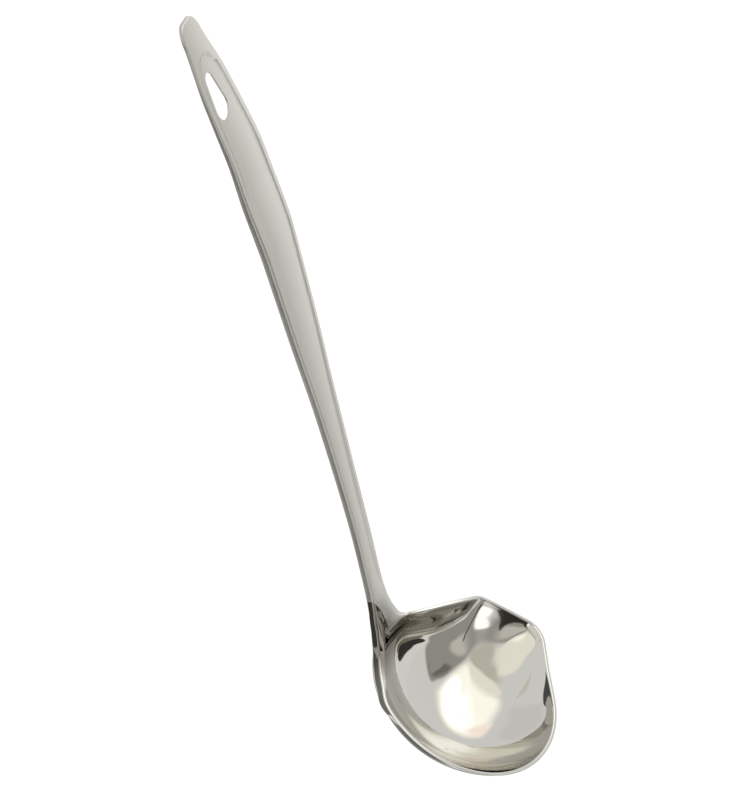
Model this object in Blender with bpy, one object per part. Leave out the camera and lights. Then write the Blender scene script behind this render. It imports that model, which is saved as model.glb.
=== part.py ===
"""Sauce ladle in stainless steel, at its real size, hanging from the hole in its handle.

The bowl is a round pressed cup. Its rim runs out into a straight pouring lip at one side, and is
drawn in towards the neck, where the wall thickens into a solid heel. The handle is pressed from
sheet with its edges turned back. Its foot flares into the rim, and a tongue on its end is let into
the forked neck of the bowl. A ground weld fills the seam between the two.

Frame: the origin is where a hook bears in the hanging hole, +Z runs up the handle, the face of the
handle looks along -Y, and the pouring lip points along +X.
"""

import math

import bmesh
import bpy
from mathutils import Matrix, Vector

MM = 0.001

# Sheet, weld and the gap left between touching pieces
SHEET = 1.2 * MM
SEAM_WIDTH = 0.6 * MM
GAP = 0.3 * MM

# Bowl, measured inside
BOWL_RADIUS = 36.0 * MM
BOWL_DEPTH = 21.0 * MM
DRAW_DEPTH = 6.3 * MM

# Pouring lip: a straight edge between two corners, at the side of the bowl
LIP_REACH = 39.4 * MM
LIP_WIDTH = 26.0 * MM
LIP_FORWARD = 6.1 * MM
LIP_TURN = math.radians(10.6)
LIP_RADIUS = 3.5 * MM
LIP_DEPTH = 13.0 * MM
LIP_LIFT = 2.7 * MM
LIP_LIFT_SPREAD = math.radians(60.0)

# Neck of the bowl: where the opening's edge and the outer wall are drawn in, and how far round
NECK_REACH = 31.5 * MM
NECK_RADIUS = 9.0 * MM
SHOULDER_REACH = 28.6 * MM
SHOULDER_SIDE = 12.1 * MM
SHOULDER_RADIUS = 9.0 * MM
SHOULDER_FACING = math.radians(143.0)
DRAWN_ROUND = math.radians(48.0)
HEEL_REACH = 36.6 * MM
HEEL_HALF_WIDTH = 3.0 * MM
HEEL_RADIUS = 3.0 * MM

# Handle, measured up from the rim and down from the tip
HANDLE_LEAN = math.radians(41.5)
HANDLE_LENGTH = 246.0 * MM
HANDLE_SET = 31.4 * MM
FLARE = 6.2 * MM
FLARE_LENGTH = 26.0 * MM
WAIST_HALF_WIDTH = 5.6 * MM
WAIST_UP = 45.0 * MM
SHAFT_HALF_WIDTH = 7.4 * MM
SHAFT_UP = 98.0 * MM
GRIP_HALF_WIDTH = 12.2 * MM
GRIP_DOWN = 66.0 * MM
SWELL_HALF_WIDTH = 10.3 * MM
SWELL_DOWN = 111.0 * MM
NOSE_HALF_WIDTH = 10.0 * MM
NOSE_DOWN = 24.7 * MM
TIP_HALF_WIDTH = 6.4 * MM
TIP_FLAT = 2.2 * MM
TIP_RADIUS = 6.5 * MM
BOW = 1.05 * MM
BOW_UP = 55.0 * MM
BEND_SETBACK = 0.55 * MM
BEND_DOWN = 82.0 * MM
CROOK_SETBACK = 2.6 * MM
CROOK_DOWN = 60.0 * MM
TONGUE_SETBACK = 4.5 * MM
TONGUE_DOWN = 42.0 * MM
TONGUE_SLOPE = 0.185

# Turned-back edges, and the solid foot where the handle meets the bowl
EDGE_DEPTH = 2.6 * MM
FOLD_SHARE = 0.6
EDGE_START_DOWN = 16.5 * MM
EDGE_FULL_DOWN = 75.0 * MM
FOOT_EDGE_DEPTH = 2.3 * MM
FOOT_DEPTH = 4.6 * MM
FOOT_LENGTH = 22.0 * MM
FOOT_HALF_WIDTH = 4.6 * MM
FOOT_SHARE = 0.9
FOOT_SINK = 2.0 * MM
HOLLOW_RUN_OUT = 6.0 * MM

# Hanging hole
HOLE_DOWN = 17.6 * MM
HOLE_SIDE = 1.5 * MM
HOLE_LENGTH = 16.0 * MM
HOLE_TOP_RADIUS = 2.6 * MM
HOLE_LOW_RADIUS = 4.3 * MM

# Forked seam
SEAM_UP = 20.0 * MM
SEAM_HALF_WIDTH = 4.4 * MM
SEAM_END_HALF_WIDTH = 2.4 * MM
SEAM_SINK = 1.2 * MM
SEAM_RAKE = 0.8

# How finely the shapes are drawn
BOWL_RINGS = 12
RING_CROWDING = 1.15
RIM_OVERRUN = 0.02
ARC_STEP = math.radians(8.0)
SECTION_STEP = 7.0 * MM
FOOT_STEPS = 8
FOLD_STEPS = 3
TIP_STEPS = 5
HOLE_STEPS = 8
REACH = 60.0 * MM
WELD_DISTANCE = 0.01 * MM

SPHERE_RADIUS = (BOWL_RADIUS**2 + BOWL_DEPTH**2) / (2 * BOWL_DEPTH)
SPHERE_RISE = SPHERE_RADIUS - BOWL_DEPTH
OUTER_RADIUS = math.sqrt((SPHERE_RADIUS + SHEET) ** 2 - SPHERE_RISE**2)
RIM_WIDTH = OUTER_RADIUS - BOWL_RADIUS


def ease(t):
    """0 to 1 with a level start and end."""
    t = min(1.0, max(0.0, t))
    return t * t * (3 - 2 * t)


def curve_through(stations, place, last_slope=0.0):
    """Height at a place of a curve through the stations. It starts level and never overshoots."""
    xs = [x for x, _ in stations]
    ys = [y for _, y in stations]
    if place <= xs[0]:
        return ys[0]
    if place >= xs[-1]:
        return ys[-1] + last_slope * (place - xs[-1])
    rises = [(ys[i + 1] - ys[i]) / (xs[i + 1] - xs[i]) for i in range(len(xs) - 1)]
    slopes = [0.0]
    for before, after in zip(rises, rises[1:]):
        slopes.append(0.0 if before * after <= 0 else 2 * before * after / (before + after))
    slopes.append(last_slope)
    i = max(k for k in range(len(xs) - 1) if xs[k] <= place)
    span = xs[i + 1] - xs[i]
    t = (place - xs[i]) / span
    start = ys[i] * (1 + 2 * t) * (1 - t) ** 2 + slopes[i] * span * t * (1 - t) ** 2
    return start + ys[i + 1] * t * t * (3 - 2 * t) + slopes[i + 1] * span * t * t * (t - 1)


def setback(up):
    """How far the handle's face lies behind its straight line, this far up from the rim."""
    stations = [
        (0.0, 0.0),
        (BOW_UP, -BOW),
        (HANDLE_LENGTH - BEND_DOWN, BEND_SETBACK),
        (HANDLE_LENGTH - CROOK_DOWN, CROOK_SETBACK),
        (HANDLE_LENGTH - TONGUE_DOWN, TONGUE_SETBACK),
    ]
    return curve_through(stations, up, TONGUE_SLOPE)


def half_width(up):
    """Half the width of the handle's face, this far up from the rim."""
    tip_start = HANDLE_LENGTH - TIP_RADIUS
    if up > tip_start:
        along = min(1.0, (up - tip_start) / TIP_RADIUS)
        return TIP_FLAT + (TIP_HALF_WIDTH - TIP_FLAT) * math.sqrt(1 - along**2)
    stations = [
        (WAIST_UP, WAIST_HALF_WIDTH),
        (SHAFT_UP, SHAFT_HALF_WIDTH),
        (HANDLE_LENGTH - SWELL_DOWN, SWELL_HALF_WIDTH),
        (HANDLE_LENGTH - GRIP_DOWN, GRIP_HALF_WIDTH),
        (HANDLE_LENGTH - NOSE_DOWN, NOSE_HALF_WIDTH),
        (tip_start, TIP_HALF_WIDTH),
    ]
    to_tip = (TIP_HALF_WIDTH - NOSE_HALF_WIDTH) / (NOSE_DOWN - TIP_RADIUS)
    spread = FLARE * max(0.0, 1 - max(0.0, up) / FLARE_LENGTH) ** 2
    return curve_through(stations, up, to_tip) + spread


def edge_depth(up):
    """How deep the turned-back edge is, face to free edge."""
    from_foot = FOOT_EDGE_DEPTH + (EDGE_DEPTH - FOOT_EDGE_DEPTH) * ease(up / FOOT_LENGTH)
    down = HANDLE_LENGTH - up
    to_tip = (down - EDGE_START_DOWN) / (EDGE_FULL_DOWN - EDGE_START_DOWN)
    return min(from_foot, SHEET + (EDGE_DEPTH - SHEET) * min(1.0, max(0.0, to_tip)))


def back_depth(up):
    """How deep the middle of the back lies: the edges' depth, and more at the solid foot."""
    foot = max(0.0, 1 - up / FOOT_LENGTH) ** 2
    return edge_depth(max(up, FOOT_LENGTH)) + (FOOT_DEPTH - EDGE_DEPTH) * foot


HOLE_UP = HANDLE_LENGTH - HOLE_DOWN
NECK = Vector((HOLE_SIDE, -setback(HOLE_UP) - SHEET / 2, -HOLE_UP))
TO_FRONT = Vector((0.0, -math.cos(HANDLE_LEAN), -math.sin(HANDLE_LEAN)))
TO_LIP = Vector((1.0, 0.0, 0.0))
RIM_UP = Vector((0.0, -math.sin(HANDLE_LEAN), math.cos(HANDLE_LEAN)))
RIM_CENTRE = NECK + HANDLE_SET * TO_FRONT


def bowl_place(front, side, up):
    """A point of the bowl: ahead of the rim's centre, towards the lip, and above the rim."""
    return RIM_CENTRE + front * TO_FRONT + side * TO_LIP + up * RIM_UP


def handle_place(across, back, up):
    """A point of the handle: across it, behind its straight line, and up from the rim."""
    return NECK + Vector((across, back, up))


def rounded(corners):
    """A closed outline through corners given as (point, radius). Radius 0 keeps a corner sharp."""
    outline = []
    for k, (corner, radius) in enumerate(corners):
        if radius == 0:
            outline.append(corner)
            continue
        back = (corners[k - 1][0] - corner).normalized()
        on = (corners[(k + 1) % len(corners)][0] - corner).normalized()
        half = back.angle(on) / 2
        centre = corner + (back + on).normalized() * radius / math.sin(half)
        start = corner + back * radius / math.tan(half) - centre
        turn = math.pi - 2 * half
        if back.x * on.y - back.y * on.x > 0:
            turn = -turn
        steps = max(2, round(abs(turn) / (2 * ARC_STEP)))
        outline += [centre + Matrix.Rotation(turn * i / steps, 2) @ start for i in range(steps + 1)]
    return outline


def subdivided(outline, step):
    """The outline with its long straight stretches cut into steps."""
    points = []
    for start, end in zip(outline, outline[1:] + outline[:1]):
        count = max(1, round((end - start).length / step))
        points += [start.lerp(end, k / count) for k in range(count)]
    return points


def lip_corners(grow):
    """Front and rear corner of the pouring lip, with every side of the lip moved out by grow."""
    along = Vector((math.cos(LIP_TURN), math.sin(LIP_TURN)))
    out = Vector((-along.y, along.x))
    middle = Vector((LIP_FORWARD, LIP_REACH)) + grow * out
    half = LIP_WIDTH / 2 + grow * math.tan(math.radians(30))
    return middle + half * along, middle - half * along


def rim_outline(radius, grow, neck, rear_shoulder, neck_radius):
    """The rim seen square on, as (front, side) points, from the lip over the neck to the front."""
    front_corner, rear_corner = lip_corners(grow)
    away = math.atan2(front_corner.y, front_corner.x) - math.acos(radius / front_corner.length)
    leave = DRAWN_ROUND - math.pi
    count = math.ceil((away - leave) / ARC_STEP)
    angles = [leave + (away - leave) * k / count for k in range(count + 1)]
    circle = [(radius * Vector((math.cos(a), math.sin(a))), 0) for a in angles]
    corners = [
        (front_corner, LIP_RADIUS + grow),
        (rear_corner, LIP_RADIUS + grow),
        (rear_shoulder, SHOULDER_RADIUS + grow),
    ]
    corners += [(point, neck_radius) for point in neck]
    return subdivided(rounded(corners + circle), radius * ARC_STEP)


def inner_outline():
    neck = [Vector((-NECK_REACH, 0.0))]
    shoulder = Vector((-SHOULDER_REACH, SHOULDER_SIDE))
    return rim_outline(BOWL_RADIUS, 0.0, neck, shoulder, NECK_RADIUS)


def outer_outline():
    neck = [Vector((-HEEL_REACH, HEEL_HALF_WIDTH)), Vector((-HEEL_REACH, -HEEL_HALF_WIDTH))]
    out = Vector((math.cos(SHOULDER_FACING), math.sin(SHOULDER_FACING)))
    shoulder = Vector((-SHOULDER_REACH, SHOULDER_SIDE)) + RIM_WIDTH * out
    return rim_outline(OUTER_RADIUS, RIM_WIDTH, neck, shoulder, HEEL_RADIUS)


def wall_point(edge, ring, radius, sphere_radius):
    """Where the line down the wall from a point of the rim crosses a ring, 0 at the rim to 1."""
    full = math.asin(radius / sphere_radius)
    turn = full * (1 - ring)
    spread = math.sin(turn) / math.sin(full)
    depth = sphere_radius * math.cos(turn) - SPHERE_RISE
    fade = DRAW_DEPTH + (LIP_DEPTH - DRAW_DEPTH) * ease(edge.y / LIP_REACH)
    flat = edge.lerp(edge.normalized() * radius, ease(depth / fade)) * spread
    lip_angle = math.atan2(LIP_FORWARD - LIP_WIDTH / 2, LIP_REACH)
    away = abs(math.atan2(edge.x, edge.y) - lip_angle) / LIP_LIFT_SPREAD
    lift = LIP_LIFT * max(0.0, 1 - away**2) ** 2 * spread**4
    return bowl_place(flat.x, flat.y, lift - depth)


def solid(name, rings, start, end, collection):
    """A closed solid through rings of equal count. Each end closes on a point, or flat if None."""
    mesh = bmesh.new()
    loops = [[mesh.verts.new(point) for point in ring] for ring in rings]
    count = len(rings[0])
    for lower, upper in zip(loops, loops[1:]):
        for k in range(count):
            j = (k + 1) % count
            mesh.faces.new((lower[k], lower[j], upper[j], upper[k]))
    for loop, point in ((loops[0], start), (loops[-1], end)):
        if point is None:
            mesh.faces.new(loop)
            continue
        pole = mesh.verts.new(point)
        for k in range(count):
            mesh.faces.new((loop[k], loop[(k + 1) % count], pole))
    bmesh.ops.recalc_face_normals(mesh, faces=mesh.faces)
    data = bpy.data.meshes.new(name)
    mesh.to_mesh(data)
    mesh.free()
    obj = bpy.data.objects.new(name, data)
    collection.objects.link(obj)
    return obj


def prism(name, outline, rake, collection):
    """A cutter through the handle from an (across, up) outline. It rises by rake on its way back."""
    curve = bpy.data.curves.new(name, "CURVE")
    curve.dimensions = "2D"
    curve.fill_mode = "BOTH"
    curve.extrude = REACH
    spline = curve.splines.new("POLY")
    spline.points.add(len(outline) - 1)
    for point, (across, up) in zip(spline.points, outline):
        point.co = (across, up, 0.0, 1.0)
    spline.use_cyclic_u = True
    drawn = bpy.data.objects.new(name, curve)
    data = bpy.data.meshes.new_from_object(drawn)
    bpy.data.objects.remove(drawn)
    mesh = bmesh.new()
    mesh.from_mesh(data)
    bmesh.ops.remove_doubles(mesh, verts=mesh.verts, dist=WELD_DISTANCE)
    upright = Matrix(((1, 0, 0, 0), (0, 0, -1, 0), (0, 1, -rake, 0), (0, 0, 0, 1)))
    bmesh.ops.transform(mesh, matrix=Matrix.Translation(NECK) @ upright, verts=mesh.verts)
    bmesh.ops.recalc_face_normals(mesh, faces=mesh.faces)
    mesh.to_mesh(data)
    mesh.free()
    obj = bpy.data.objects.new(name, data)
    collection.objects.link(obj)
    return cutter(obj)


def cutter(obj):
    obj.hide_render = True
    obj.display_type = "WIRE"
    return obj


def boolean(obj, other, operation):
    modifier = obj.modifiers.new(operation.title() + " " + other.name, "BOOLEAN")
    modifier.operation = operation
    modifier.object = other
    return obj


def wall_places():
    """Rings down the wall from the rim to the bottom, closest near the rim."""
    return [(k / BOWL_RINGS) ** RING_CROWDING for k in range(1, BOWL_RINGS)]


def cup(name, outline, radius, sphere_radius, collection):
    """The cup filled solid: rings down the wall, closed by a level top and by a fan at the bottom."""
    places = [0.0] + wall_places()
    rings = [[wall_point(edge, p, radius, sphere_radius) for edge in outline] for p in places]
    bottom = bowl_place(0.0, 0.0, SPHERE_RISE - sphere_radius)
    return solid(name, rings, bowl_place(0.0, 0.0, 0.0), bottom, collection)


def cavity(collection):
    """The space inside the bowl, carried on straight up past the rim."""
    outline = inner_outline()
    places = [-RIM_OVERRUN, RIM_OVERRUN] + wall_places()
    rings = [[wall_point(e, p, BOWL_RADIUS, SPHERE_RADIUS) for e in outline] for p in places]
    rings.insert(0, [point + BOWL_DEPTH * RIM_UP for point in rings[0]])
    bottom = bowl_place(0.0, 0.0, -BOWL_DEPTH)
    return cutter(solid("cavity", rings, bowl_place(0.0, 0.0, BOWL_DEPTH), bottom, collection))


def section(up):
    """One section of the handle: face, rounded folds, turned-back edges, and the crowned back."""
    wide = half_width(up)
    face = setback(up)
    edge = edge_depth(up)
    fold = FOLD_SHARE * edge
    middle = min(FOOT_HALF_WIDTH, FOOT_SHARE * wide)
    half = []
    for k in range(FOLD_STEPS + 1):
        turn = math.pi / 2 * k / FOLD_STEPS
        half.append((wide - fold + fold * math.sin(turn), face + fold - fold * math.cos(turn)))
    half += [(wide, face + edge), (middle, face + back_depth(up))]
    other = [(-across, back) for across, back in reversed(half)]
    return [handle_place(across, back, up) for across, back in half + other]


def handle_stations():
    tip_start = HANDLE_LENGTH - TIP_RADIUS
    stations = [-FOOT_SINK + (FOOT_LENGTH + FOOT_SINK) * k / FOOT_STEPS for k in range(FOOT_STEPS)]
    count = math.ceil((tip_start - FOOT_LENGTH) / SECTION_STEP)
    stations += [FOOT_LENGTH + (tip_start - FOOT_LENGTH) * k / count for k in range(count + 1)]
    turns = [math.pi / 2 * k / TIP_STEPS for k in range(1, TIP_STEPS + 1)]
    return stations + [tip_start + TIP_RADIUS * math.sin(turn) for turn in turns]


def handle_bar(collection):
    """The handle before its back is hollowed."""
    return cutter(solid("handle_bar", [section(up) for up in handle_stations()], None, None, collection))


def hollow(collection):
    """The space between the turned-back edges. Its floor runs out through the back at both ends."""
    start = FOOT_LENGTH
    end = HANDLE_LENGTH - EDGE_START_DOWN
    count = math.ceil((end - start) / SECTION_STEP)
    rings = []
    for k in range(count + 1):
        up = start + (end - start) * k / count
        inside = min(up - start, end - up)
        run_out = max(0.0, 1 - inside / HOLLOW_RUN_OUT)
        floor = setback(up) + SHEET + (edge_depth(up) - SHEET + GAP) * run_out
        wide = half_width(up) - SHEET
        top = setback(up) + REACH
        corners = [(-wide, floor), (wide, floor), (wide, top), (-wide, top)]
        rings.append([handle_place(across, back, up) for across, back in corners])
    return cutter(solid("hollow", rings, None, None, collection))


def hanging_hole(collection):
    """An egg-shaped hole, wide end down: two arcs and the straight lines that touch both."""
    high = HOLE_UP - HOLE_TOP_RADIUS
    low = HOLE_UP - HOLE_LENGTH + HOLE_LOW_RADIUS
    lean = math.asin((HOLE_LOW_RADIUS - HOLE_TOP_RADIUS) / (high - low))
    outline = []
    for middle, radius, start, turn in (
        (high, HOLE_TOP_RADIUS, lean, math.pi - 2 * lean),
        (low, HOLE_LOW_RADIUS, math.pi - lean, math.pi + 2 * lean),
    ):
        for k in range(HOLE_STEPS + 1):
            angle = start + turn * k / HOLE_STEPS
            outline.append((radius * math.cos(angle) - HOLE_SIDE, middle + radius * math.sin(angle)))
    return prism("hanging_hole", outline, 0.0, collection)


def handle_side(grow, collection):
    """The side of the forked seam that the handle lies on, moved out from the seam by grow."""
    top = HANDLE_LENGTH + REACH
    shoulder = SEAM_UP - grow
    end = -SEAM_SINK - grow
    half = [(SEAM_END_HALF_WIDTH + grow, end), (SEAM_HALF_WIDTH + grow, shoulder)]
    half += [(REACH, shoulder), (REACH, top)]
    outline = half + [(-across, up) for across, up in reversed(half)]
    return prism("handle_side", outline, SEAM_RAKE, collection)


def material(name, hex_colour, roughness):
    """Stainless steel in one finish."""
    steel = bpy.data.materials.new(name)
    steel.use_nodes = True
    values = [int(hex_colour[k : k + 2], 16) / 255 for k in (0, 2, 4)]
    linear = [v / 12.92 if v <= 0.04045 else ((v + 0.055) / 1.055) ** 2.4 for v in values]
    shader = steel.node_tree.nodes["Principled BSDF"]
    shader.inputs["Base Color"].default_value = (*linear, 1.0)
    shader.inputs["Metallic"].default_value = 1.0
    shader.inputs["Roughness"].default_value = roughness
    steel.diffuse_color = (*linear, 1.0)
    return steel


def piece(name, blank, finish, collection):
    """A copy of the blank that becomes one piece of the ladle."""
    obj = bpy.data.objects.new(name, blank.copy())
    obj.data.materials.append(finish)
    obj.data.shade_smooth()
    obj.data.set_sharp_from_angle(angle=math.radians(30))
    collection.objects.link(obj)
    return obj


def main():
    for obj in list(bpy.data.objects):
        bpy.data.objects.remove(obj, do_unlink=True)
    ladle = bpy.data.collections.new("sauce_ladle")
    cutters = bpy.data.collections.new("cutters")
    cutters.hide_render = True
    for collection in (ladle, cutters):
        bpy.context.scene.collection.children.link(collection)

    whole = cutter(cup("whole", outer_outline(), OUTER_RADIUS, SPHERE_RADIUS + SHEET, cutters))
    boolean(whole, handle_bar(cutters), "UNION")
    boolean(whole, cavity(cutters), "DIFFERENCE")
    boolean(whole, hollow(cutters), "DIFFERENCE")
    boolean(whole, hanging_hole(cutters), "DIFFERENCE")
    graph = bpy.context.evaluated_depsgraph_get()
    blank = bpy.data.meshes.new_from_object(whole.evaluated_get(graph))

    mirror_steel = material("polished_stainless", "D8D6D2", 0.06)
    satin_steel = material("satin_stainless", "C6C5C1", 0.35)
    weld_steel = material("ground_weld", "B4B2AE", 0.25)
    bowl = piece("bowl", blank, mirror_steel, ladle)
    boolean(bowl, handle_side(SEAM_WIDTH / 2 + GAP, cutters), "DIFFERENCE")
    handle = piece("handle", blank, satin_steel, ladle)
    boolean(handle, handle_side(-SEAM_WIDTH / 2 - GAP, cutters), "INTERSECT")
    weld = piece("neck_weld", blank, weld_steel, ladle)
    boolean(weld, handle_side(SEAM_WIDTH / 2, cutters), "INTERSECT")
    boolean(weld, handle_side(-SEAM_WIDTH / 2, cutters), "DIFFERENCE")


main()
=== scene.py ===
"""The looks of a sauce ladle in stainless steel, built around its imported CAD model.

The bowl, the handle and the weld between them are drawn as one closed skin of quads, finely enough
for a mirror polish, and then parted along the forked seam. The bowl is mirror polished and the
handle is satin brushed. The line between the two finishes runs in a V over the neck.

Frame: the origin is where a hook bears in the hanging hole, +Z runs up the handle, the face of the
handle looks along -Y, and the pouring lip points along +X.
"""

import math

import bmesh
import bpy
import numpy as np
from mathutils import Matrix, Vector


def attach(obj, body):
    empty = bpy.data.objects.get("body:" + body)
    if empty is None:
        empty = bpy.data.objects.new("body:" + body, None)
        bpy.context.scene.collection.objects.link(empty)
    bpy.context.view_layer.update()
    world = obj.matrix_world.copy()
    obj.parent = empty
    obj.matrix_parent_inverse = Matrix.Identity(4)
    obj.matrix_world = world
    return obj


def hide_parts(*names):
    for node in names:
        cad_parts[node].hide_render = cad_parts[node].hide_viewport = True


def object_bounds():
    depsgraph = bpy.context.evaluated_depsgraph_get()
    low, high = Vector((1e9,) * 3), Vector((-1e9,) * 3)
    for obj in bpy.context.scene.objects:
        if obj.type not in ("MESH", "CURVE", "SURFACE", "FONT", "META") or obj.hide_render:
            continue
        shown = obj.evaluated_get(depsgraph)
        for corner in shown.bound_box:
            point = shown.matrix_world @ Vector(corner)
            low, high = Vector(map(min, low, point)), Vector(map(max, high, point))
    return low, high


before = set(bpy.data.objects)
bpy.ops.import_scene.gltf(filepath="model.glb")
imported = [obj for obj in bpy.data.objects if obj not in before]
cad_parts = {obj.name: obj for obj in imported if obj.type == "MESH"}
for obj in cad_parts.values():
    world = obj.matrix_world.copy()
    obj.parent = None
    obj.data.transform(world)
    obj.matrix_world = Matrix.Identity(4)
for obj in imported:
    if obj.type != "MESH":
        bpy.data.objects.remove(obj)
cad_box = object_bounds()

bl_info = {
    "name": "Sauce Ladle",
    "version": (1, 0, 0),
    "blender": (4, 5, 0),
    "location": "View3D > Sidebar > Ladle",
    "description": "Builds a stainless sauce ladle with a polished bowl and a satin handle",
    "category": "Object",
}

MM = 0.001
MATH, RANGE, MIX = "ShaderNodeMath", "ShaderNodeMapRange", "ShaderNodeMix"

# Bowl. The draw is how deep the wall takes to become round again where the rim is drawn in, and the
# drawn round is how far from the neck the rim is drawn in
SHEET = 1.2 * MM
RIM_WIDTH = 1.4 * MM
DRAW_DEPTH = 6.3 * MM
DRAWN_ROUND = math.radians(48.0)

# Pouring lip, a straight edge between two corners at the side of the bowl
LIP_REACH = 39.4 * MM
LIP_WIDTH = 26.0 * MM
LIP_FORWARD = 6.1 * MM
LIP_TURN = math.radians(10.6)
LIP_RADIUS = 4.6 * MM
LIP_FRONT_RADIUS = 7.5 * MM
LIP_DEPTH = 13.0 * MM
LIP_LIFT_SPREAD = math.radians(60.0)

# How deep the corners of the opening still show in the wall, over how many degrees they are evened
# out below that, and how much longer a drawn-in part of the wall takes to become round
CORNER_FADE = 7.0 * MM
CORNER_SPREAD = 13.0
WALL_SLACK = 0.8

# Neck of the bowl, as (ahead of the rim's centre, towards the lip)
NECK_CORNER = np.array((-31.5, 0.0)) * MM
SHOULDER_CORNER = np.array((-28.6, 12.1)) * MM
NECK_RADIUS = 9.0 * MM
NEAR_ANGLE = math.radians(56.0)
NECK_HALF_WIDTH = 2.5 * MM

# Handle, measured up from the rim and down from the tip
HANDLE_LEAN = math.radians(41.5)
HANDLE_LENGTH = 246.0 * MM
HANDLE_SET = 31.4 * MM
FLARE = 6.2 * MM
FLARE_LENGTH = 26.0 * MM
TIP_HALF_WIDTH = 6.4 * MM
TIP_FLAT = 2.2 * MM
TIP_RADIUS = 6.5 * MM
EDGE_DEPTH = 2.6 * MM
EDGE_START_DOWN = 16.5 * MM
EDGE_RUN = 58.5 * MM
FOOT_EDGE_DEPTH = 2.3 * MM
FOOT_DEPTH = 4.6 * MM
FOOT_LENGTH = 22.0 * MM
HOLLOW_START = 28.0 * MM
FACE_START = 14.0 * MM

# Where the face lies behind its straight line, and half its width, as (up from the rim, size)
SETBACKS = np.array(((0.0, 0.0), (55.0, -1.05), (164.0, 0.55), (186.0, 2.6), (204.0, 4.5))) * MM
END_SLOPE = 0.185
HALF_WIDTHS = MM * np.array(
    ((45.0, 5.6), (98.0, 7.4), (135.0, 10.3), (180.0, 12.2), (221.3, 10.0), (239.5, 6.4))
)

# The face is sunk between its rolled edges, up to an arch over the hole
DISH_EDGE = 2.2 * MM
DISH_RAMP = 0.6 * MM
DISH_ARCH_DOWN = 12.0 * MM
DISH_START_LENGTH = 20.0 * MM
FACE_MARKS = ("inside", "middle", "start")

# Hanging hole
HOLE_DOWN = 17.6 * MM
HOLE_SIDE = 1.5 * MM
HOLE_LENGTH = 16.0 * MM
HOLE_TOP_RADIUS = 2.6 * MM
HOLE_LOW_RADIUS = 4.3 * MM

# How softly the opening's edge is rounded, all round and at the neck, and the outer edges
EDGE_ROUNDING = 0.3 * MM
NECK_ROUNDING = 6.5 * MM
RIM_ROUNDING = 0.5 * MM
FLARE_ROUNDING = 0.95 * MM
TIP_ROUNDING = 0.4 * MM
LOW_ROUNDING = 0.3 * MM

# The sharp line outside the rim. Near the neck it leaves the handle's flare, passes its marks and
# meets the rim again. For each side: which way it lies, how far along the opening's edge it meets
# the rim, and its marks, as how far along they are and their place ahead, to the lip and up, in mm
CREASE_SIDES = (
    (-1, 33.0, ((8.9, (-32.0, -11.7, 0.1)), (15.3, (-29.8, -17.4, 0.0)), (22.3, (-26.1, -24.1, 0.0)))),
    (1, 11.5, ((7.3, (-31.8, 11.5, 0.8)),)),
)
FLARE_REACH = 8.2 * MM
FLARE_END = 6.3 * MM

# Where one rule of the skin takes over from another along the opening's edge, as (start, length)
# from the neck, on the near side and on the side of the lip
SQUARE_TO_RIM = np.array(((3.0, 9.0), (3.0, 6.0))) * MM
DOWN_THE_WALL = np.array(((24.0, 14.0), (7.0, 6.0))) * MM
FOOT_ENDS = np.array(((20.0, 14.0), (8.0, 6.0))) * MM
JOIN_RISES = np.array(((12.0, 24.0), (6.0, 14.0))) * MM
ROLL_ENDS = np.array(((5.0, 14.0), (6.0, 16.0))) * MM

# How deep the flank is on the bowl's wall, and where the skin joins that wall, at the neck and
# how much higher on its far side
WALL_FLANK = 1.3 * MM
JOIN_DEPTH = 9.0 * MM
JOIN_RISE = 5.5 * MM

# Forked seam
SEAM_UP = 20.0 * MM
SEAM_HALF_WIDTH = 4.4 * MM
SEAM_END_HALF_WIDTH = 2.4 * MM
SEAM_SINK = 1.2 * MM
SEAM_RAKE = 0.8
SEAM_WIDTH = 0.6 * MM

# The line between the satin and the polished steel: the two runs of its left arm and its right arm,
# each as (share of across, share of up, start), and how far to each side the finish changes
ARMS = ((1.0, 0.277, 1.71 * MM), (1.0, 0.591, 5.92 * MM), (0.114, 1.0, -0.48 * MM))
ARM_BEND = 1.0 * MM
FINISH_EDGE = 0.15 * MM
FINISH_JITTER = 0.5 * MM
JITTER_PER_MM = 0.7

# Shine and brush marks. Real brush marks are about 0.05 mm wide, too fine to show, so they are
# drawn about 0.3 mm wide and 11 mm long
POLISHED_ROUGHNESS = 0.05
SATIN_ROUGHNESS = (0.29, 0.43)
STREAKS_PER_MM = (3.3, 3.3, 0.09)
STREAK_HEIGHT = 0.02 * MM
STREAK_STRENGTH = 0.12

# Where the painted shade on one side of the satin handle fades out across it, and where the polished
# neck is painted darker as a dark reflection: how far behind the rim's centre, and how far to each
# side
SATIN_SHADE_SPAN = (-5.0 * MM, 7.0 * MM)
NECK_SHADE_BEHIND = (21.0 * MM, 28.0 * MM)
NECK_SHADE_ACROSS = (22.0 * MM, 12.0 * MM)

# Camera, as fitted to the outline in the photograph, and the floor below the hanging ladle
CAMERA_PLACE = (-0.693653, -0.357554, 0.412817)
CAMERA_RIGHT = (0.28895, -0.93491, -0.20604)
CAMERA_DOWN = (-0.60748, -0.01272, -0.79423)
CAMERA_LOOK = (0.73992, 0.35466, -0.57161)
CAMERA_LENS = 131.067
CAMERA_SENSOR = 36.0
FLOOR_DROP = 1.5
FLOOR_HALF = 20.0
FLOOR_GLOW = 0.16

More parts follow.
